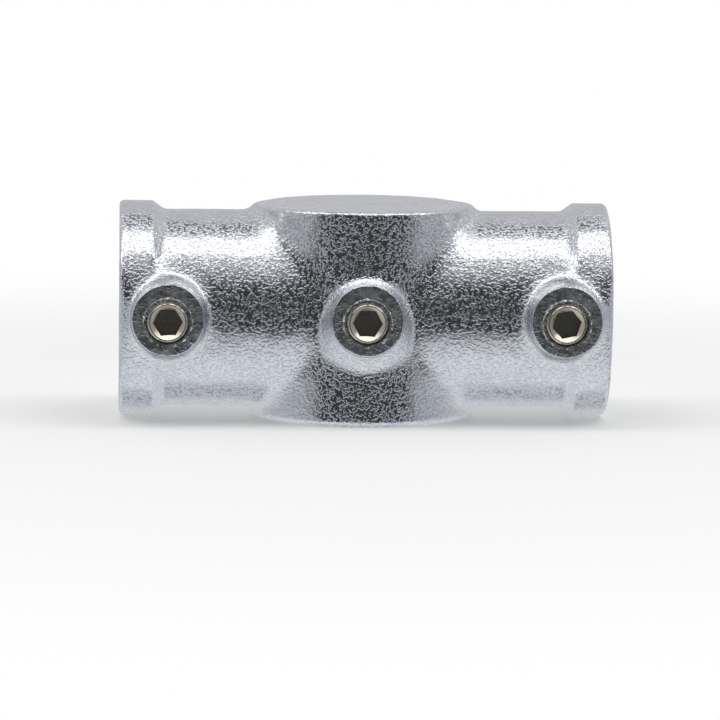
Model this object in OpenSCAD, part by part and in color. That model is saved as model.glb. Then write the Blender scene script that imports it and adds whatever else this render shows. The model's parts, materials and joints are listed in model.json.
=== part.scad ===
// Eaves key clamp: a cast three-socket fitting for tube, clamped by grub screws.
// Two rail sockets lie in line along X. The upright socket opens downwards and has a closed top.
// The origin is the middle of the upright socket's mouth, +Z is up and the screws face -Y.

/* [Tube and fit] */
// Outside diameter of the tube that the sockets take
tube_od = 48.3; // [33.7:0.1:60.3]
// Gap between tube and socket wall, on the radius
tube_clearance = 0.45; // [0.2:0.05:0.5]

/* [Rail sockets] */
// Length over both rail mouths
overall_length = 153; // [140:1:180]
// Wall of a rail socket
arm_wall = 6.25; // [5:0.25:9]
// Wall left between a rail socket's floor and the upright socket
stop_wall = 5; // [3:0.5:8]
// Core hole through that wall
core_hole_d = 22; // [14:1:32]

/* [Mouth rims] */
// Height of the rim above the arm
rim_rise = 2.65; // [1.5:0.05:4]
// Length of the rim's full-height band, its rounded edge included
rim_width = 10.4; // [7:0.1:14]
// Length of the run-out from the rim down to the arm
rim_runout = 4.4; // [3:0.1:8]
// Radius on the rim's outer edge
rim_round = 1.3; // [0.5:0.1:2.5]

/* [Upright boss] */
// How far the boss stands proud of the arms, on the radius
boss_step = 2.15; // [1:0.05:5]
// Height of the closed top above the crown of the arms
cap_rise = 2.15; // [1:0.05:5]
// Thickness of the closed top
cap_wall = 6; // [4:0.5:8]
// How far the boss reaches below the rims, so that the fitting stands on it
foot_drop = 0.2; // [0.1:0.1:3]
// Radius on the edge of the closed top
cap_round = 1.2; // [0.4:0.1:2]
// Chamfer round the boss's lower edge
lip_chamfer = 1.3; // [0.4:0.1:2]
// Radius of the blend between boss and arms
blend_r = 6; // [4:0.5:9]

/* [Screw bosses] */
// Diameter of the ground face
face_d = 21; // [19:0.5:26]
// Height of the ground faces above the arms
face_rise = 7.5; // [5.5:0.05:9]
// Radius on the edge of a ground face
face_round = 0.6; // [0.3:0.1:1]
// Draft of a boss's side, in degrees
face_draft = 10; // [2:1:35]
// Radius of the blend round a boss's foot
foot_blend_r = 4; // [2:0.25:7]
// Distance of an outer boss from its rail mouth
screw_inset = 15; // [14:0.5:24]
// How far the tapped holes lie below the middle of their bosses
tap_drop = 0.7; // [0:0.1:1.5]

/* [Grub screws] */
// Outside diameter of the thread
screw_d = 13.15; // [10:0.05:14]
// Length of a screw
screw_l = 13.5; // [10:0.5:16]
// Gap between thread and tapped hole, on the radius
thread_clearance = 0.1; // [0.05:0.05:0.3]
// Gap between a screw's tip and the socket bore, with the screw at rest
tip_gap = 0.4; // [0.2:0.1:2]
// Chamfer on both ends of a screw
screw_chamfer = 0.9; // [0.4:0.1:1.5]
// Key socket, across its flats
hex_af = 8; // [5:0.5:8]
// Depth of the key socket
hex_depth = 6; // [4:0.5:8]
// Depth of the conical lead into the key socket
hex_lead = 1.5; // [0.4:0.1:2]
// Diameter of that lead, at the screw's end
lead_d = 10.8; // [9.4:0.1:11.2]
// Diameter of the cup in a screw's tip
cup_d = 7; // [4:0.5:8]
// Depth of that cup
cup_depth = 1.2; // [0.5:0.1:2]

/* [Hidden] */

$fn = 96;
zinc = [0.72, 0.73, 0.75];
plated_steel = [0.66, 0.64, 0.60];

bore_r = tube_od / 2 + tube_clearance;
arm_r = bore_r + arm_wall;
rim_r = arm_r + rim_rise;
boss_r = arm_r + boss_step;
half_length = overall_length / 2;
axis_z = rim_r + foot_drop;
boss_h = axis_z + arm_r + cap_rise;
socket_floor_x = bore_r + stop_wall;
face_y = arm_r + face_rise;
face_flat_r = face_d / 2;
screw_x = half_length - screw_inset;
tap_r = screw_d / 2 + thread_clearance;
screw_tip_y = bore_r + tip_gap;

// Cuts run past the faces that they open by this much
cut_over = 1;
// A blend's edges dip this far under the surfaces that it joins
blend_dip = 0.2;
// Steps along the boss blend, along a foot blend, and across either
blend_steps = 96;
foot_steps = 48;
arc_steps = 5;
// Share of the run-out that curves into the arm, before its straight slope up to the rim
runout_curve = 0.4;
// Steps of the run-out's profile, and of the search for the ball's contact on it
runout_steps = 10;
contact_steps = 40;
// Rounds in which a ball settles against a drafted side
settle_steps = 6;

// Points of an arc about a centre, from one angle to another
function arc(centre, r, from, to, steps = 6) = [
    for (i = [0:steps])
        let (angle = from + (to - from) * i / steps)
        centre + r * [cos(angle), sin(angle)]
];

function unit(v) = v / norm(v);

// Section of a rolling-ball blend: an arc between two contact directions, then a root inside both walls
function blend_section(centre, to_a, to_b, r) = concat(
    [for (i = [0:arc_steps]) centre + r * unit(to_a * (arc_steps - i) + to_b * i)],
    [centre + r * (to_a + to_b)]
);

// Ball centres roll round the joint of the arm (axis X) and the boss (axis Z)
function boss_blend_section(angle) =
    let (
        reach = blend_r - blend_dip,
        y = (arm_r + reach) * sin(angle),
        z = (arm_r + reach) * cos(angle),
        x = sqrt(pow(boss_r + reach, 2) - y * y)
    )
    blend_section([x, y, z], -unit([0, y, z]), -unit([x, y, 0]), blend_r);

// Share of the rim's height at a share t of the run-out: a curve off the arm, then a straight slope
function runout_height(t) =
    t < runout_curve ? t * t / (runout_curve * (2 - runout_curve))
        : (2 * t - runout_curve) / (2 - runout_curve);

// Radius of an arm at a distance x from the middle: plain, then the run-out, the rim and its rounded edge
function arm_radius(x) =
    let (
        t = min(max((x - half_length + rim_width + rim_runout) / rim_runout, 0), 1),
        edge = min(max(x - half_length + rim_round, 0), rim_round)
    )
    arm_r + rim_rise * runout_height(t) - rim_round + sqrt(rim_round * rim_round - edge * edge);

// Where a ball rests on an arm when its centre is at x: its contact's offset in x and its centre's radius
function ball_on_arm(x, reach) =
    let (
        tries = [
            for (i = [1 - contact_steps:contact_steps - 1])
                let (u = i / contact_steps)
                [u * reach, arm_radius(x + u * reach) + reach * sqrt(1 - u * u)]
        ],
        highest = max([for (t = tries) t[1]])
    )
    [for (t = tries) if (t[1] == highest) t][0];

// Radius of a screw boss's drafted side at a depth y
function side_radius(y) =
    face_flat_r + face_round / cos(face_draft) + (face_y - face_round + y) * tan(face_draft);

// Centre of a ball on an arm, beside an outer screw boss, and its direction to the arm
function ball_by_outer_boss(angle, r, reach) =
    let (
        x = r * cos(angle),
        z = r * sin(angle),
        rest = ball_on_arm(screw_x + x, reach),
        y = -sqrt(rest[1] * rest[1] - z * z),
        drop = sqrt(reach * reach - rest[0] * rest[0])
    )
    [[x, y, z], unit([rest[0], -drop * y / rest[1], -drop * z / rest[1]])];

// Centre of a ball beside the centre screw boss, and its direction to the wall under it: boss or arms
function ball_by_centre_boss(angle, r, reach) =
    let (
        x = r * cos(angle),
        z = r * sin(angle),
        on_boss = sqrt(pow(boss_r + reach, 2) - x * x),
        on_arm = sqrt(pow(arm_r + reach, 2) - z * z),
        y = -max(on_boss, on_arm)
    )
    [[x, y, z], -unit(on_boss > on_arm ? [x, y, 0] : [0, y, z])];

// A ball beside a screw boss, settled against its drafted side
function foot_ball(angle, r, reach, outer, tries) =
    let (ball = outer ? ball_by_outer_boss(angle, r, reach) : ball_by_centre_boss(angle, r, reach))
    tries == 0 ? ball
        : foot_ball(angle, side_radius(ball[0][1]) + reach / cos(face_draft), reach, outer, tries - 1);

// Ball centres roll round a screw boss's foot
function foot_section(angle, outer) =
    let (
        highest = outer ? rim_r : boss_r,
        ball_r = min(foot_blend_r, (face_y - face_round - highest) / (1 - sin(face_draft))),
        reach = ball_r - blend_dip,
        ball = foot_ball(angle, side_radius(-highest) + reach, reach, outer, settle_steps),
        to_side = [-cos(face_draft) * cos(angle), sin(face_draft), -cos(face_draft) * sin(angle)]
    )
    blend_section(ball[0], ball[1], to_side, ball_r);

// Skin of a closed ring through a list of sections
module ring_skin(sections) {
    n = len(sections);
    m = len(sections[0]);
    points = [for (s = sections) each s];
    faces = [
        for (i = [0:n - 1], j = [0:m - 1])
            let (
                here = i * m,
                there = (i + 1) % n * m,
                k = (j + 1) % m
            )
            each [[here + j, here + k, there + k], [here + j, there + k, there + j]]
    ];
    polyhedron(points, faces);
}

// Both arms with their rims, turned about X
module arms() {
    runout_x = half_length - rim_width - rim_runout;
    side = concat(
        [
            for (i = [0:runout_steps])
                let (x = runout_x + rim_runout * i / runout_steps)
                [arm_radius(x), x]
        ],
        arc([rim_r - rim_round, half_length - rim_round], rim_round, 0, 90)
    );
    outline = concat(
        [[0, -half_length]],
        [for (i = [len(side) - 1:-1:0]) [side[i][0], -side[i][1]]],
        side,
        [[0, half_length]]
    );
    translate([0, 0, axis_z])
        rotate([0, 90, 0])
            rotate_extrude()
                polygon(outline);
}

// Upright boss with its closed top
module boss() {
    outline = concat(
        [[0, 0], [boss_r - lip_chamfer, 0], [boss_r, lip_chamfer]],
        arc([boss_r - cap_round, boss_h - cap_round], cap_round, 0, 90),
        [[0, boss_h]]
    );
    rotate_extrude()
        polygon(outline);
}

// Blends between boss and arms, cut level with the boss's top and bottom
module boss_blends() {
    intersection() {
        translate([0, 0, axis_z])
            for (side = [0, 1])
                mirror([side, 0, 0])
                    ring_skin([for (i = [0:blend_steps - 1]) boss_blend_section(360 * i / blend_steps)]);
        translate([-overall_length, -overall_length, 0])
            cube([2 * overall_length, 2 * overall_length, boss_h]);
    }
}

// One screw boss with its ground face and its blended foot
module screw_boss(sections) {
    depth = face_rise + arm_wall;
    outline = concat(
        [[0, 0], [side_radius(depth - face_y), 0]],
        arc([face_flat_r, depth - face_round], face_round, face_draft, 90),
        [[0, depth]]
    );
    translate([0, depth - face_y, 0])
        rotate([90, 0, 0])
            rotate_extrude()
                polygon(outline);
    ring_skin(sections);
}

// All three screw bosses, the outer ones cut level with the rail mouths
module screw_bosses() {
    angles = [for (i = [0:foot_steps - 1]) 360 * i / foot_steps];
    translate([0, 0, axis_z]) {
        screw_boss([for (angle = angles) foot_section(angle, false)]);
        intersection() {
            for (side = [0, 1])
                mirror([side, 0, 0])
                    translate([screw_x, 0, 0])
                        screw_boss([for (angle = angles) foot_section(angle, true)]);
            translate([-half_length, -overall_length, -overall_length])
                cube([overall_length, 2 * overall_length, 2 * overall_length]);
        }
    }
}

// The casting: outside forms first, then the sockets and the tapped holes
module body() {
    color(zinc)
        difference() {
            union() {
                arms();
                boss();
                boss_blends();
                screw_bosses();
            }
            sockets();
            for (x = [-screw_x, 0, screw_x])
                translate([x, -bore_r / 2, axis_z - tap_drop])
                    rotate([90, 0, 0])
                        cylinder(r = tap_r, h = face_y);
        }
}

// Bores of the three sockets and the core hole that joins them
module sockets() {
    translate([0, 0, -cut_over])
        cylinder(r = bore_r, h = boss_h - cap_wall + cut_over);
    for (side = [0, 1])
        mirror([side, 0, 0])
            translate([socket_floor_x, 0, axis_z])
                rotate([0, 90, 0])
                    cylinder(r = bore_r, h = half_length - socket_floor_x + cut_over);
    translate([-socket_floor_x - cut_over, 0, axis_z])
        rotate([0, 90, 0])
            cylinder(d = core_hole_d, h = 2 * (socket_floor_x + cut_over));
}

// One grub screw, its tip just clear of the socket bore
module grub_screw(x) {
    hex_r = hex_af / 2 / cos(30);
    lead_slope = (lead_d - hex_af) / 2 / hex_lead;
    outline = [
        [0, cup_depth],
        [cup_d / 2, 0],
        [screw_d / 2 - screw_chamfer, 0],
        [screw_d / 2, screw_chamfer],
        [screw_d / 2, screw_l - screw_chamfer],
        [screw_d / 2 - screw_chamfer, screw_l],
        [0, screw_l]
    ];
    color(plated_steel)
        translate([x, -screw_tip_y, axis_z - tap_drop])
            rotate([90, 0, 0])
                difference() {
                    rotate_extrude()
                        polygon(outline);
                    translate([0, 0, screw_l - hex_depth])
                        cylinder(r = hex_r, h = hex_depth + cut_over, $fn = 6);
                    translate([0, 0, screw_l - hex_lead])
                        cylinder(
                            r1 = hex_af / 2,
                            r2 = lead_d / 2 + cut_over * lead_slope,
                            h = hex_lead + cut_over
                        );
                }
}

module grub_screw_left() { grub_screw(-screw_x); }
module grub_screw_centre() { grub_screw(0); }
module grub_screw_right() { grub_screw(screw_x); }

body();
grub_screw_left();
grub_screw_centre();
grub_screw_right();
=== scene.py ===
# %% [markdown]
# # A galvanised key clamp
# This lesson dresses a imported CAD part: a malleable-iron tube fitting, hot-dip galvanised, with three
# plated grub screws. The CAD model already has the sizes, so the frame is loaded first and nothing in it
# is moved. Every new piece takes its place and its size from that frame.

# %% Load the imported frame
import json
import math

import bpy
import numpy as np
from mathutils import Matrix, Quaternion, Vector


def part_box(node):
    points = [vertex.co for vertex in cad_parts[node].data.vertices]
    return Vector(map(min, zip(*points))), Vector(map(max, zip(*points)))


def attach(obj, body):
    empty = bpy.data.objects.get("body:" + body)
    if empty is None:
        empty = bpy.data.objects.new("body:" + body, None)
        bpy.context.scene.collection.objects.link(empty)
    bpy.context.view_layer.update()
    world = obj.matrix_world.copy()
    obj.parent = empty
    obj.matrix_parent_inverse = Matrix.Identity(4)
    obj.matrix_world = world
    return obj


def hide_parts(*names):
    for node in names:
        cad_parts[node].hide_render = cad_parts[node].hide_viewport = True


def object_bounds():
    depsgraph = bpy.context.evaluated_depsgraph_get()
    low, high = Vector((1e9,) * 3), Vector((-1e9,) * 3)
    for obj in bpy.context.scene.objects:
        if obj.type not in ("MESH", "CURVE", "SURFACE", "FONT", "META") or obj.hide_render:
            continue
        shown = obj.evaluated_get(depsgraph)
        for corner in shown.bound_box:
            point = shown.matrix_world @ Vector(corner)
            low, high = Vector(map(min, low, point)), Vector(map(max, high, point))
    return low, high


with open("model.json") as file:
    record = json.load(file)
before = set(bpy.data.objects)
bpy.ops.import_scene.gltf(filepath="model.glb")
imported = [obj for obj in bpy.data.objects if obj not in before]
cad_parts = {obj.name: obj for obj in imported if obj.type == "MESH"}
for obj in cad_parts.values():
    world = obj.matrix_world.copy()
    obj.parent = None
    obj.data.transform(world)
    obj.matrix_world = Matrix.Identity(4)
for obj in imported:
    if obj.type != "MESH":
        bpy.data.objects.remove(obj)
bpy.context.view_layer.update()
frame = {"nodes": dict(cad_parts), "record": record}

MM = 0.001
SCREWS = ("left", "centre", "right")

body_low, body_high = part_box("body")
screw_boxes = {side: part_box(f"grub_screw_{side}") for side in SCREWS}
screw_axes = {side: (low + high) / 2 for side, (low, high) in screw_boxes.items()}
face_y = body_low.y
screw_low, screw_high = screw_boxes["centre"]
screw_r = (screw_high.x - screw_low.x) / 2
screw_l = screw_high.y - screw_low.y
mounts = {mount["name"]: mount for mount in frame["record"]["mounts"]}
rail_axis_z = mounts["rail_socket_left"]["pos_m"][2]
print("body", [round((b - a) / MM, 2) for a, b in zip(body_low, body_high)], "mm")
print("screw axes", screw_axes)

# %% [markdown]
# Most steps below need the same moves that a hand makes in the viewport: pick one object alone, add a
# modifier and apply it, cut one object with another, and select points or edges by their place. A few
# small helpers keep those moves short.

# %% Helpers for picking, modifiers, cutters and selections


def pick(piece):
    """Selects one object alone and makes it the active one."""
    bpy.ops.object.select_all(action="DESELECT")
    piece.select_set(True)
    bpy.context.view_layer.objects.active = piece
    return piece


def modify(piece, kind, **settings):
    """Adds a modifier, gives it its settings and applies it."""
    pick(piece)
    modifier = piece.modifiers.new(kind.lower(), kind)
    for name, value in settings.items():
        setattr(modifier, name, value)
    bpy.ops.object.modifier_apply(modifier=modifier.name)
    return piece


def cut_with(piece, operation):
    """Applies a boolean with the object that was just made, and removes that object."""
    cutter = bpy.context.object
    modify(piece, "BOOLEAN", operation=operation, object=cutter, solver="EXACT")
    bpy.data.objects.remove(cutter)


def points_of(piece):
    """The places of all points of a mesh, one row each."""
    places = np.empty(len(piece.data.vertices) * 3)
    piece.data.vertices.foreach_get("co", places)
    return places.reshape(-1, 3)


def choose(piece, kind, chosen):
    """Opens edit mode with only the chosen points (VERT) or edges (EDGE) selected."""
    pick(piece)
    bpy.ops.object.mode_set(mode="EDIT")
    bpy.ops.mesh.select_mode(type=kind)
    bpy.ops.mesh.select_all(action="DESELECT")
    bpy.ops.object.mode_set(mode="OBJECT")
    elements = piece.data.edges if kind == "EDGE" else piece.data.vertices
    elements.foreach_set("select", chosen)
    bpy.ops.object.mode_set(mode="EDIT")


# %% [markdown]
# ## The casting
# On the real fitting, iron runs into a sand mould and the part is then dipped in molten zinc. Sand and zinc
# round every inner corner, so no edge is truly sharp and the walls are never quite even. It could be built
# again from cylinders, but the CAD node already has the right blends. So a copy of its mesh is merged, to
# be remeshed into even quads that can be smoothed and made uneven as a cast skin is.

# %% Copy the CAD body
weld = 0.001 * MM

casting = bpy.data.objects.new("galvanised_casting", frame["nodes"]["body"].data.copy())
bpy.context.scene.collection.objects.link(casting)
casting.data.materials.clear()
pick(casting)
bpy.ops.object.mode_set(mode="EDIT")
bpy.ops.mesh.select_all(action="SELECT")
bpy.ops.mesh.remove_doubles(threshold=weld)
bpy.ops.object.mode_set(mode="OBJECT")
print("casting:", len(casting.data.vertices), "points")

# %% [markdown]
# Zinc drains down the front as the casting leaves the bath, and sets as a skirt below the middle screw
# boss. The skirt is a cone with its wide end pulled down and its middle bored out, clear of the tapped
# hole. It joins the casting before the remesh, so that both become one skin.

# %% Add the zinc skirt and remesh
skin_step = 0.4 * MM
skirt_top_r, skirt_foot_r, skirt_bore_r = 10.6 * MM, 15 * MM, 8.5 * MM
skirt_top_y, skirt_foot_y = face_y + 0.6 * MM, -30 * MM
skirt_sag = 4.5 * MM
level_play = 0.01 * MM
round_sides = 96
along_y = (math.pi / 2, 0, 0)

bpy.ops.object.select_all(action="DESELECT")
bpy.ops.mesh.primitive_cone_add(
    vertices=round_sides, radius1=skirt_foot_r, radius2=skirt_top_r, depth=skirt_foot_y - skirt_top_y,
    location=(0, (skirt_top_y + skirt_foot_y) / 2, rail_axis_z), rotation=along_y)
bpy.ops.object.transform_apply(location=True, rotation=True, scale=True)
skirt = bpy.context.object
choose(skirt, "VERT", points_of(skirt)[:, 1] > skirt_foot_y - level_play)
bpy.ops.transform.translate(value=(0, 0, -skirt_sag))
bpy.ops.object.mode_set(mode="OBJECT")
bpy.ops.mesh.primitive_cylinder_add(
    vertices=round_sides, radius=skirt_bore_r, depth=-2 * face_y,
    location=(0, face_y, rail_axis_z), rotation=along_y)
cut_with(skirt, "DIFFERENCE")
pick(casting)
skirt.select_set(True)
bpy.ops.object.join()
modify(casting, "REMESH", mode="VOXEL", voxel_size=skin_step, use_smooth_shade=True)
print("remeshed casting:", len(casting.data.vertices), "points")

# %% [markdown]
# The tapped holes are cut after dipping, so they keep crisp edges and a true bore while the cast skin is
# smoothed. A vertex group says how much of each: 1 is cast skin, 0 is cut metal.

# %% Weigh cast skin against cut metal
hole_reach, hole_depth = 7.6 * MM, 14 * MM

points = points_of(casting)
cut = np.zeros(len(points), bool)
for axis in screw_axes.values():
    away = np.hypot(points[:, 0] - axis.x, points[:, 2] - axis.z)
    cut |= (away < hole_reach) & (points[:, 1] < face_y + hole_depth)
skin = casting.vertex_groups.new(name="cast skin")
skin.add(np.flatnonzero(~cut).tolist(), 1.0, "REPLACE")
print("cut metal:", int(cut.sum()), "of", len(points), "points")

# %% [markdown]
# Sand can't hold the thin wedge where boss and arms run level with each other at the waist. So a second
# group weighs how near a point is to that wedge, and long smoothing of that group alone widens the blend.
# The weight fades out towards the top, the bottom and the sides, where the wedge runs out by itself.

# %% Weigh the waist's corners
waist_width, waist_depth = 16 * MM, 20 * MM
waist_end, waist_full = 30 * MM, 26 * MM


def ramp(value, start, end):
    """Rises from 0 to 1 as the value goes from start to end."""
    return np.clip((value - start) / (end - start), 0, 1)


rise = np.abs(points[:, 2] - rail_axis_z)
boss_reach = np.hypot(points[:, 0], points[:, 1])
arm_reach = np.hypot(points[:, 1], rise)
corner = ramp(np.abs(boss_reach - arm_reach), waist_width, 0)
corner *= ramp(np.abs(points[:, 1]), 0, waist_depth) * ramp(rise, waist_end, waist_full)
print("waist corners:", int((corner > 0).sum()), "points")

# %% [markdown]
# Zinc also gathers in the corner round each screw boss, most of all below it, where it drains. Those
# corners join the group with a small weight, on a ring round each boss that is wider below. The inside of
# the sockets stays out of the group.

# %% Add the feet of the screw bosses
foot_start, foot_full = 11.8 * MM, 13.5 * MM
foot_fade_mm, foot_end_mm = 15, 19
drained_fade_mm, drained_end_mm = 3, 5
drain_start, drain_full = 0.2, 0.8
foot_weight = 0.2
socket_reach = 28 * MM

front = points[:, 1] < 0
below = rail_axis_z - points[:, 2]
for axis in screw_axes.values():
    away = np.hypot(points[:, 0] - axis.x, below)
    drained = ramp(below / away, drain_start, drain_full)
    foot_end = (foot_end_mm + drained_end_mm * drained) * MM
    foot_fade = (foot_fade_mm + drained_fade_mm * drained) * MM
    foot = ramp(away, foot_start, foot_full) * ramp(away, foot_end, foot_fade)
    beside = corner * ramp(away, foot_fade_mm * MM, foot_end_mm * MM)
    corner = np.where(front, np.maximum(beside, foot_weight * foot), corner)
corner *= np.minimum(boss_reach, arm_reach) > socket_reach
filled = casting.vertex_groups.new(name="filled corners")
for tenth in range(1, 11):
    filled.add(np.flatnonzero(np.ceil(corner * 10) == tenth).tolist(), tenth / 10, "REPLACE")
print("filled corners:", int((corner > 0).sum()), "points")

# %% [markdown]
# Smoothing takes out the steps of the remesh and softens the edges. Then two slow waves of clouds noise
# make the skin as uneven as a sand casting: too shallow to change a size, but enough to bend its
# reflections.

# %% Soften the skin and make it uneven
fill_passes, skin_passes = 700, 4
mould_waves = (("mould swell", 16 * MM, 0.30 * MM), ("sand ripple", 5 * MM, 0.12 * MM))

modify(casting, "SMOOTH", factor=0.5, iterations=fill_passes, vertex_group="filled corners")
modify(casting, "SMOOTH", factor=0.5, iterations=skin_passes, vertex_group="cast skin")
for name, wave, depth in mould_waves:
    clouds = bpy.data.textures.new(name, "CLOUDS")
    clouds.noise_scale = wave
    modify(casting, "DISPLACE", texture=clouds, texture_coords="LOCAL", strength=depth,
           mid_level=0.5, vertex_group="cast skin")
    print(name, "every", round(wave / MM, 1), "mm,", round(depth / MM, 2), "mm high")

# %% [markdown]
# Last, the screw bosses are ground back on a belt. They could be sliced off, but the slices would have to
# be closed round the holes again. So every point that stands above the belt is selected and scaled flat
# onto its plane: the uneven skin then gives each ground face the ragged outline of the real one.

# %% Grind the screw faces and thin the mesh
grind = 0.25 * MM
ground_y = face_y + grind
triangle_budget = 190_000
casting_crease = math.radians(40)

proud = points_of(casting)[:, 1] < ground_y
choose(casting, "VERT", proud)
bpy.ops.transform.resize(value=(1, 0, 1), center_override=(0, ground_y, 0))
bpy.ops.object.mode_set(mode="OBJECT")
triangles = sum(len(face.vertices) - 2 for face in casting.data.polygons)
modify(casting, "DECIMATE", ratio=min(1.0, triangle_budget / triangles))
pick(casting)
bpy.ops.object.shade_smooth_by_angle(angle=casting_crease)
print("casting:", int(proud.sum()), "points ground,", len(casting.data.polygons), "faces, from", triangles)

# %% [markdown]
# The tap tears the zinc as it comes out of each hole and leaves a thin, broken ridge round it, higher above
# than below. It could be modelled tooth by tooth, but a ring that is tipped a little into the face and
# displaced by noise breaks up by itself.

# %% Raise the torn zinc round the holes
burr_r, burr_thick = 7.5 * MM, 0.2 * MM
burr_tip = math.radians(2)
tear_width, tear_height = 1.5 * MM, 1.5 * MM
tear_level = 0.55

tears = bpy.data.textures.new("torn zinc", "CLOUDS")
tears.noise_scale = tear_width
burrs = {}
for side, axis in screw_axes.items():
    bpy.ops.object.select_all(action="DESELECT")
    bpy.ops.mesh.primitive_torus_add(
        major_radius=burr_r, minor_radius=burr_thick, major_segments=220, minor_segments=12,
        location=(axis.x, ground_y, axis.z), rotation=(math.pi / 2 + burr_tip, 0, 0))
    bpy.ops.object.transform_apply(location=True, rotation=True, scale=True)
    burr = bpy.context.object
    burr.name = f"torn_zinc_{side}"
    modify(burr, "DISPLACE", texture=tears, texture_coords="LOCAL", strength=tear_height,
           mid_level=tear_level)
    pick(burr)
    bpy.ops.object.shade_smooth()
    burrs[side] = burr
print("torn zinc:", [burr.name for burr in burrs.values()])

# %% [markdown]
# ## The grub screws
# Each screw is a cut length of threaded bar: a pipe thread of nineteen turns to the inch, both ends
# chamfered, a hexagon socket in the outer end and a cupped point at the other. The thread could be drawn as
# a bump, but its turns break the chamfer into the rings that show round the key socket. So one turn of its
# profile is extruded point by point, and the Screw modifier winds it up the bar, from below one end to
# above the other.

# %% Wind the thread
thread_pitch = 25.4 / 19 * MM
thread_depth = 0.64 * thread_pitch
thread_turns = math.ceil(screw_l / thread_pitch) + 2
thread_sides = 72
turns_below = 1.5
root_r = screw_r - thread_depth

profile = [(root_r, 0.0), (root_r, 0.1), (screw_r, 0.42), (screw_r, 0.58), (root_r, 0.9), (root_r, 1.0)]
profile = [Vector((r, 0, (turn - turns_below) * thread_pitch)) for r, turn in profile]
bpy.ops.object.select_all(action="DESELECT")
bpy.ops.mesh.primitive_plane_add(size=screw_r, location=(0, 0, 0))
screw = bpy.context.object
bpy.ops.object.mode_set(mode="EDIT")
bpy.ops.mesh.select_all(action="SELECT")
bpy.ops.mesh.merge(type="CENTER")
bpy.ops.transform.translate(value=profile[0])
for start, end in zip(profile, profile[1:]):
    bpy.ops.mesh.extrude_region_move(TRANSFORM_OT_translate={"value": end - start})
bpy.ops.object.mode_set(mode="OBJECT")
modify(screw, "SCREW", axis="Z", screw_offset=thread_pitch, iterations=thread_turns, steps=thread_sides,
       render_steps=thread_sides, use_merge_vertices=True, merge_threshold=weld)
print("thread:", thread_turns, "turns of", round(thread_pitch / MM, 3), "mm")

# %% [markdown]
# The wound thread is an open tube that is too long at both ends. On the bench it would be sawn off. Here it
# is bisected at each end, and each cut is filled, which leaves a closed bar.

# %% Cut the bar to length
saw_play = 0.0001 * MM

pick(screw)
bpy.ops.object.mode_set(mode="EDIT")
for height, waste in ((0.0, "clear_inner"), (screw_l, "clear_outer")):
    bpy.ops.mesh.select_all(action="SELECT")
    bpy.ops.mesh.remove_doubles(threshold=weld)
    bpy.ops.mesh.bisect(
        plane_co=(0, 0, height), plane_no=(0, 0, 1), use_fill=True, threshold=saw_play, **{waste: True})
bpy.ops.mesh.select_all(action="SELECT")
bpy.ops.mesh.normals_make_consistent(inside=False)
bpy.ops.object.mode_set(mode="OBJECT")
print("threaded bar:", round(screw_l / MM, 2), "mm,", len(screw.data.polygons), "faces")

# %% [markdown]
# The ends are shaped as on a lathe. A plain bar with bevelled ends is the envelope that the thread is kept
# inside.

# %% Chamfer both ends
chamfer = 0.9 * MM
bar_sides = 144

bpy.ops.mesh.primitive_cylinder_add(
    vertices=bar_sides, radius=screw_r, depth=screw_l, location=(0, 0, screw_l / 2))
envelope = bpy.context.object
bpy.ops.object.transform_apply(location=True)
heights = points_of(envelope)[:, 2]
rims = np.array([abs(heights[a] - heights[b]) < level_play
                 for a, b in (edge.vertices for edge in envelope.data.edges)])
choose(envelope, "EDGE", rims)
bpy.ops.mesh.bevel(offset=chamfer, segments=1, affect="EDGES")
bpy.ops.object.mode_set(mode="OBJECT")
pick(envelope)
cut_with(screw, "INTERSECT")
print("chamfered bar:", len(screw.data.polygons), "faces")

# %% [markdown]
# Three cutters then take out the key socket, the cone that leads the key in, and the cup at the point. Each
# starts a little outside the bar, so that no two faces lie on each other.

# %% Cut the key socket and the cup
key_flats, key_depth = 8 * MM, 6 * MM
key_r = key_flats / 2
lead_depth, lead_r = 1.2 * MM, 5.4 * MM
cup_r, cup_depth = 3.5 * MM, 1.2 * MM
over = 0.5 * MM

bpy.ops.mesh.primitive_cylinder_add(
    vertices=6, radius=key_r / math.cos(math.pi / 6), depth=key_depth + over,
    location=(0, 0, screw_l - (key_depth - over) / 2), rotation=(0, 0, math.pi / 6))
cut_with(screw, "DIFFERENCE")
bpy.ops.mesh.primitive_cone_add(
    vertices=round_sides, radius1=key_r, radius2=lead_r + over * (lead_r - key_r) / lead_depth,
    depth=lead_depth + over, location=(0, 0, screw_l - (lead_depth - over) / 2))
cut_with(screw, "DIFFERENCE")
bpy.ops.mesh.primitive_cone_add(
    vertices=round_sides, radius1=cup_r * (1 + over / cup_depth), radius2=0, depth=cup_depth + over,
    location=(0, 0, (cup_depth - over) / 2))
cut_with(screw, "DIFFERENCE")
print("grub screw:", len(screw.data.polygons), "faces")

# %% [markdown]
# One screw is modelled and the others are copies, each with its own mesh. Each copy is laid along the
# screw's own axis, with the key socket outwards, and its place goes into its mesh, as a CAD node's does.
# Fitted by hand, the three stop at different turns.

# %% Put a screw in each hole
stop_turns = {"left": 3, "centre": -2, "right": 12}
screw_crease = math.radians(25)

screws = {}
lay_down = Matrix.Rotation(math.pi / 2, 4, "X")
for side in SCREWS:
    copy = bpy.data.objects.new(f"threaded_screw_{side}", screw.data.copy())
    bpy.context.scene.collection.objects.link(copy)
    tip = Vector((screw_axes[side].x, screw_boxes[side][1].y, screw_axes[side].z))
    turn = Matrix.Rotation(math.radians(stop_turns[side]), 4, "Z")
    copy.data.transform(Matrix.Translation(tip) @ lay_down @ turn)
    pick(copy)
    bpy.ops.object.shade_smooth_by_angle(angle=screw_crease)
    screws[side] = copy
bpy.data.objects.remove(screw)
print("screws:", [piece.name for piece in screws.values()])

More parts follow.
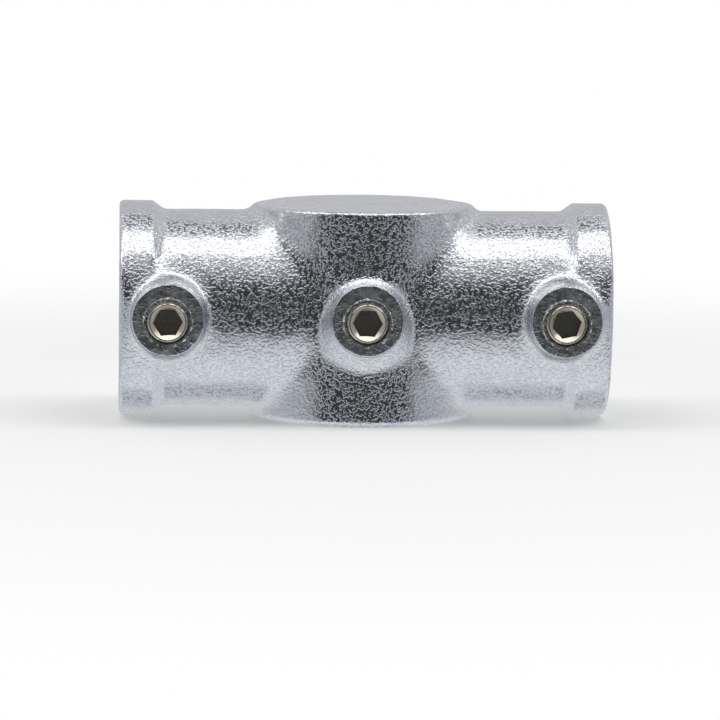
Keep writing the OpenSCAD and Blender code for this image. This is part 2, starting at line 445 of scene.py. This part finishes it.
# %% [markdown]
# ## Materials
# Colours are written as sRGB hex values and turned to linear by one function. A second function adds a node
# with its settings, and links whatever sockets are given for its inputs. A third starts a material.

# %% Helpers for materials


def linear(code):
    """An sRGB hex colour as linear RGBA."""
    parts = [int(code[i:i + 2], 16) / 255 for i in (1, 3, 5)]
    return (*[c / 12.92 if c <= 0.04045 else ((c + 0.055) / 1.055) ** 2.4 for c in parts], 1.0)


def add(tree, kind, inputs=(), **settings):
    """Adds a node, gives it its settings, and fills its inputs with values or with links from sockets."""
    node = tree.nodes.new(kind)
    for name, value in settings.items():
        setattr(node, name, value)
    for name, value in dict(inputs).items():
        if isinstance(value, bpy.types.NodeSocket):
            tree.links.new(value, node.inputs[name])
        else:
            node.inputs[name].default_value = value
    return node


def start_material(name):
    """A new material with an empty node tree and its output."""
    material = bpy.data.materials.new(name)
    material.use_nodes = True
    material.node_tree.nodes.clear()
    return material, material.node_tree, add(material.node_tree, "ShaderNodeOutputMaterial")


# %% [markdown]
# ### Hot-dip zinc over a shot-blasted casting
# The zinc is bright metal, but the casting under it is as coarse as sand, so each grain mirrors another
# part of the room. Where dark and light meet in the reflection the skin sparkles, and where it mirrors one
# even light it looks smooth. A bump about as wide as the sand does that, on a metal with little roughness of
# its own. Larger patches of zinc differ a little in tone.

# %% Sand grain and zinc tones
grain, fine_grain = 0.92 * MM, 0.2 * MM
cloud = 9 * MM
land_start, land_full = 0.45, 0.65

zinc, tree, out = start_material("hot-dip galvanised iron")
place = add(tree, "ShaderNodeTexCoord").outputs["Object"]
coarse = add(tree, "ShaderNodeTexNoise", {
    "Vector": place, "Scale": 1 / grain, "Detail": 2.0, "Roughness": 0.55})
lands = add(tree, "ShaderNodeMapRange", {
    "Value": coarse.outputs["Fac"], "From Min": land_start, "From Max": land_full},
    interpolation_type="SMOOTHSTEP")
fine = add(tree, "ShaderNodeTexNoise", {"Vector": place, "Scale": 1 / fine_grain, "Detail": 1.0})
patches = add(tree, "ShaderNodeTexNoise", {"Vector": place, "Scale": 1 / cloud, "Detail": 3.0})
skin_tone = add(tree, "ShaderNodeMix", {
    "Factor": patches.outputs["Fac"], "A": linear("#d6d7db"), "B": linear("#ebebee")}, data_type="RGBA")
print("sand grain:", round(grain / MM, 2), "mm")

# %% [markdown]
# The screw faces are ground back to dull, smeared metal. They are found by their depth in Object
# coordinates, and the deepest pits of the sand grain stay zinc.

# %% Ground faces
smear = 2.5 * MM
face_play = 0.04 * MM
pit_full, pit_start = 0.60, 0.54
smear_start, smear_full = 0.35, 0.65

depth = add(tree, "ShaderNodeSeparateXYZ", {"Vector": place}).outputs["Y"]
on_face = add(tree, "ShaderNodeMath", {0: depth, 1: ground_y, 2: face_play}, operation="COMPARE")
off_pits = add(tree, "ShaderNodeMapRange", {
    "Value": coarse.outputs["Fac"], "From Min": pit_full, "From Max": pit_start})
ground = add(tree, "ShaderNodeMath", {
    0: on_face.outputs[0], 1: off_pits.outputs["Result"]}, operation="MULTIPLY").outputs[0]
smears = add(tree, "ShaderNodeTexNoise", {"Vector": place, "Scale": 1 / smear, "Detail": 3.0})
smears = add(tree, "ShaderNodeMapRange", {
    "Value": smears.outputs["Fac"], "From Min": smear_start, "From Max": smear_full})
scuffed = add(tree, "ShaderNodeMix", {
    "Factor": smears.outputs["Result"], "A": linear("#8e8f8c"), "B": linear("#dededa")}, data_type="RGBA")
print("ground faces at y", round(ground_y / MM, 2), "mm")

# %% [markdown]
# One shader takes both finishes: the ground share sets its colour, its roughness, and how much of the sand
# is left standing.

# %% Galvanised casting material
sand_height, fine_height = 0.105 * MM, 0.012 * MM
zinc_roughness, ground_roughness = 0.10, 0.46
ground_bite = 0.3

colour = add(tree, "ShaderNodeMix", {
    "Factor": ground, "A": skin_tone.outputs["Result"], "B": scuffed.outputs["Result"]}, data_type="RGBA")
rough = add(tree, "ShaderNodeMapRange", {
    "Value": ground, "To Min": zinc_roughness, "To Max": ground_roughness}).outputs["Result"]
bite = add(tree, "ShaderNodeMapRange", {
    "Value": ground, "To Min": 1.0, "To Max": ground_bite}).outputs["Result"]
sand = add(tree, "ShaderNodeBump", {
    "Height": lands.outputs["Result"], "Distance": sand_height, "Strength": bite})
skin_bump = add(tree, "ShaderNodeBump", {
    "Height": fine.outputs["Fac"], "Distance": fine_height, "Strength": bite,
    "Normal": sand.outputs["Normal"]})
shader = add(tree, "ShaderNodeBsdfPrincipled", {
    "Base Color": colour.outputs["Result"], "Metallic": 1.0, "Roughness": rough,
    "Normal": skin_bump.outputs["Normal"]})
tree.links.new(shader.outputs["BSDF"], out.inputs["Surface"])
for piece in (casting, *burrs.values()):
    piece.data.materials.append(zinc)
print(zinc.name, "on the casting and the torn zinc")

# %% [markdown]
# ### Nickel-plated steel
# The screws are turned from steel bar and plated, so they are smoother and warmer than the zinc. Turning
# leaves rings too fine to show, and handling leaves faint patches in the gloss.

# %% Plated screw material
handling = 1.2 * MM
dent_depth = 0.03 * MM
gloss_clean, gloss_worn = 0.14, 0.30

nickel, tree, out = start_material("nickel-plated steel")
place = add(tree, "ShaderNodeTexCoord").outputs["Object"]
worn = add(tree, "ShaderNodeTexNoise", {"Vector": place, "Scale": 1 / handling, "Detail": 3.0})
tint = add(tree, "ShaderNodeMix", {
    "Factor": worn.outputs["Fac"], "A": linear("#c9bfad"), "B": linear("#ded6c8")}, data_type="RGBA")
gloss = add(tree, "ShaderNodeMapRange", {
    "Value": worn.outputs["Fac"], "To Min": gloss_clean, "To Max": gloss_worn})
dents = add(tree, "ShaderNodeBump", {"Height": worn.outputs["Fac"], "Distance": dent_depth})
shader = add(tree, "ShaderNodeBsdfPrincipled", {
    "Base Color": tint.outputs["Result"], "Metallic": 1.0, "Roughness": gloss.outputs["Result"],
    "Normal": dents.outputs["Normal"]})
tree.links.new(shader.outputs["BSDF"], out.inputs["Surface"])
for piece in screws.values():
    piece.data.materials.append(nickel)
print(nickel.name, "on the screws")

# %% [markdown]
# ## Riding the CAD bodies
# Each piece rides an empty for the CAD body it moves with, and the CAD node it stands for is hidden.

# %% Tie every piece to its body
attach(casting, "casting")
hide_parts("body")
for burr in burrs.values():
    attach(burr, "casting")
    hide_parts("body")
for side, piece in screws.items():
    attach(piece, f"screw_{side}")
    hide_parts(f"grub_screw_{side}")
print("tied:", 1 + len(burrs) + len(screws), "pieces")

# %% [markdown]
# ## Studio
# The fitting stands on a pale paper floor under one wide softbox. The floor keeps the shadow near the
# fitting and fades to white further out. It only catches the shadow: mirror rays pass it by and meet the
# room's own pale floor, so the metal shows an even light from below.

# %% Floor
floor_size = 30.0
shadow_reach, white_reach = 0.12, 0.45
floor_lift = 0.22

bpy.ops.object.select_all(action="DESELECT")
bpy.ops.mesh.primitive_plane_add(size=floor_size, location=(0, 0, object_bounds()[0][2]))
floor = bpy.context.object
floor.name = "floor"
floor.visible_glossy = False
paper, tree, out = start_material("pale paper floor")
place = add(tree, "ShaderNodeTexCoord").outputs["Object"]
seen = add(tree, "ShaderNodeLightPath").outputs["Is Camera Ray"]
away = add(tree, "ShaderNodeVectorMath", {0: place}, operation="LENGTH")
fade = add(tree, "ShaderNodeMapRange", {
    "Value": away.outputs["Value"], "From Min": shadow_reach, "From Max": white_reach},
    interpolation_type="SMOOTHSTEP")
seen_far = add(tree, "ShaderNodeMath", {0: fade.outputs["Result"], 1: seen}, operation="MULTIPLY")
lift = add(tree, "ShaderNodeMath", {0: seen, 1: floor_lift}, operation="MULTIPLY")
matt = add(tree, "ShaderNodeBsdfDiffuse", {"Color": linear("#f2f1ee")})
glow = add(tree, "ShaderNodeEmission", {"Color": linear("#ffffff"), "Strength": lift.outputs[0]})
lit = add(tree, "ShaderNodeAddShader", {0: matt.outputs[0], 1: glow.outputs[0]})
white = add(tree, "ShaderNodeEmission", {"Color": linear("#ffffff"), "Strength": 1.0})
surface = add(tree, "ShaderNodeMixShader", {
    0: seen_far.outputs[0], 1: lit.outputs[0], 2: white.outputs[0]})
tree.links.new(surface.outputs[0], out.inputs["Surface"])
floor.data.materials.append(paper)
print("floor:", floor_size, "m, at z", round(floor.location.z / MM, 2), "mm")

# %% [markdown]
# For a metal the room matters more than the lamp. The room could be built from walls, but the world can
# hold it as tones by direction: the turn away from the camera's end, and the height over the horizon. Its
# sides are grey, and its back, floor and ceiling have tones of their own. Two dimmer patches draw the grey
# lines along the arms: a painted shadow of the fitting on the floor just behind it, and a darker patch of
# ceiling behind the softbox.

# %% Tones of the room


def to_radians(*angles):
    """Angles in degrees as radians."""
    return tuple(math.radians(angle) for angle in angles)


side_tone = "#b0b4ba"
back, back_tone = to_radians(90, 135), "#cbcccf"
ground_light, ground_tone = to_radians(-8, -58), "#e9edf2"
ceiling, ceiling_tone = to_radians(30, 65), "#c0c2c6"
# The first patch is a painted shadow: a darker tone below and behind that stands in for the fitting's own
# shadow on the floor, as mirror rays see it.
painted_shadow_and_dim_patches = ((to_radians(-114, 26, 2), "#a4a8ae"), (to_radians(113, 15, 3), "#6c6f74"))

world = bpy.data.worlds.new("studio")
bpy.context.scene.world = world
world.use_nodes = True
tree = world.node_tree
tree.nodes.clear()
way_out = add(tree, "ShaderNodeTexCoord").outputs["Generated"]
way = add(tree, "ShaderNodeSeparateXYZ", {"Vector": way_out}).outputs
aside = add(tree, "ShaderNodeMath", {0: way["X"]}, operation="ABSOLUTE")
ahead = add(tree, "ShaderNodeMath", {0: way["Y"], 1: -1.0}, operation="MULTIPLY")
turn = add(tree, "ShaderNodeMath", {
    0: aside.outputs[0], 1: ahead.outputs[0]}, operation="ARCTAN2").outputs[0]
height = add(tree, "ShaderNodeMath", {0: way["Z"]}, operation="ARCSINE").outputs[0]
room = linear(side_tone)
for angle, (start, full), code in (
        (turn, back, back_tone), (height, ground_light, ground_tone), (height, ceiling, ceiling_tone)):
    share = add(tree, "ShaderNodeMapRange", {"Value": angle, "From Min": start, "From Max": full})
    room = add(tree, "ShaderNodeMix", {
        "Factor": share.outputs["Result"], "A": room, "B": linear(code)},
        data_type="RGBA").outputs["Result"]
# Mixes in both patches; the first is the painted shadow of the fitting on the floor.
for (slant, edge, core), code in painted_shadow_and_dim_patches:
    near = add(tree, "ShaderNodeVectorMath", {
        0: way_out, 1: (0, -math.cos(slant), math.sin(slant))}, operation="DOT_PRODUCT")
    share = add(tree, "ShaderNodeMapRange", {
        "Value": near.outputs["Value"], "From Min": math.cos(edge), "From Max": math.cos(core)},
        interpolation_type="SMOOTHSTEP")
    room = add(tree, "ShaderNodeMix", {
        "Factor": share.outputs["Result"], "A": room, "B": linear(code)},
        data_type="RGBA").outputs["Result"]
print("room:", len(tree.nodes), "nodes")

# %% [markdown]
# The end that the camera looks from is dark, which draws the dark band along the front. It fades out to the
# sides, upwards and downwards. Camera rays see white instead of the room.

# %% Dark end of the room, and white for the camera
dark_tone = "#3a3d3f"
dark_sides, dark_top, dark_foot = to_radians(64, 45), to_radians(60, 26), to_radians(-37, -18)

shade = 1.0
for angle, (edge, core) in ((turn, dark_sides), (height, dark_top), (height, dark_foot)):
    share = add(tree, "ShaderNodeMapRange", {
        "Value": angle, "From Min": edge, "From Max": core}, interpolation_type="SMOOTHSTEP")
    shade = add(tree, "ShaderNodeMath", {
        0: shade, 1: share.outputs["Result"]}, operation="MULTIPLY").outputs[0]
room = add(tree, "ShaderNodeMix", {
    "Factor": shade, "A": room, "B": linear(dark_tone)}, data_type="RGBA").outputs["Result"]
seen = add(tree, "ShaderNodeLightPath").outputs["Is Camera Ray"]
sky = add(tree, "ShaderNodeMix", {"Factor": seen, "A": room, "B": linear("#ffffff")}, data_type="RGBA")
background = add(tree, "ShaderNodeBackground", {"Color": sky.outputs["Result"], "Strength": 1.0})
add(tree, "ShaderNodeOutputWorld", {"Surface": background.outputs[0]})
print("world:", len(tree.nodes), "nodes")

# %% [markdown]
# One long softbox hangs over the front, level with the rail sockets. It lays the bright line along both
# arms and rims. Its power follows from its area, so that a change of size keeps its brightness.

# %% Softbox
box_length, box_width = 2.4, 0.36
box_ahead, box_height = 0.13, 0.8
box_radiance = 1.75

lamp = bpy.data.lights.new("softbox", "AREA")
lamp.shape = "RECTANGLE"
lamp.size, lamp.size_y = box_length, box_width
lamp.energy = box_radiance * math.pi * box_length * box_width
softbox = bpy.data.objects.new("softbox", lamp)
softbox.location = (0, -box_ahead, box_height)
bpy.context.scene.collection.objects.link(softbox)
print("softbox:", round(lamp.energy, 2), "W")

# %% [markdown]
# ## Camera
# The camera stands about a metre and a half off with a long lens, a little to the left of the middle and a
# little above, and is tilted by less than a degree. Its lens is worked out for a square picture.

# %% Camera
picture_px = 720
focal_px = 4755.5
sensor = 36.0
aim = Vector((-0.437, 0, 17.105)) * MM
stand_off = 1502 * MM
azimuth, elevation, roll = to_radians(2.842, 6.991, 0.670)

forward = Vector((math.sin(azimuth) * math.cos(elevation), math.cos(azimuth) * math.cos(elevation),
                  -math.sin(elevation)))
camera = bpy.data.objects.new("camera", bpy.data.cameras.new("camera"))
camera.data.sensor_width = sensor
camera.data.lens = focal_px / picture_px * sensor
camera.location = aim - forward * stand_off
camera.rotation_mode = "QUATERNION"
camera.rotation_quaternion = forward.to_track_quat("-Z", "Y") @ Quaternion((0, 0, 1), roll)
bpy.context.scene.collection.objects.link(camera)
bpy.context.scene.camera = camera
bpy.context.scene.view_settings.view_transform = "Standard"
print("camera at", [round(c, 4) for c in camera.location], "lens", round(camera.data.lens, 1), "mm")
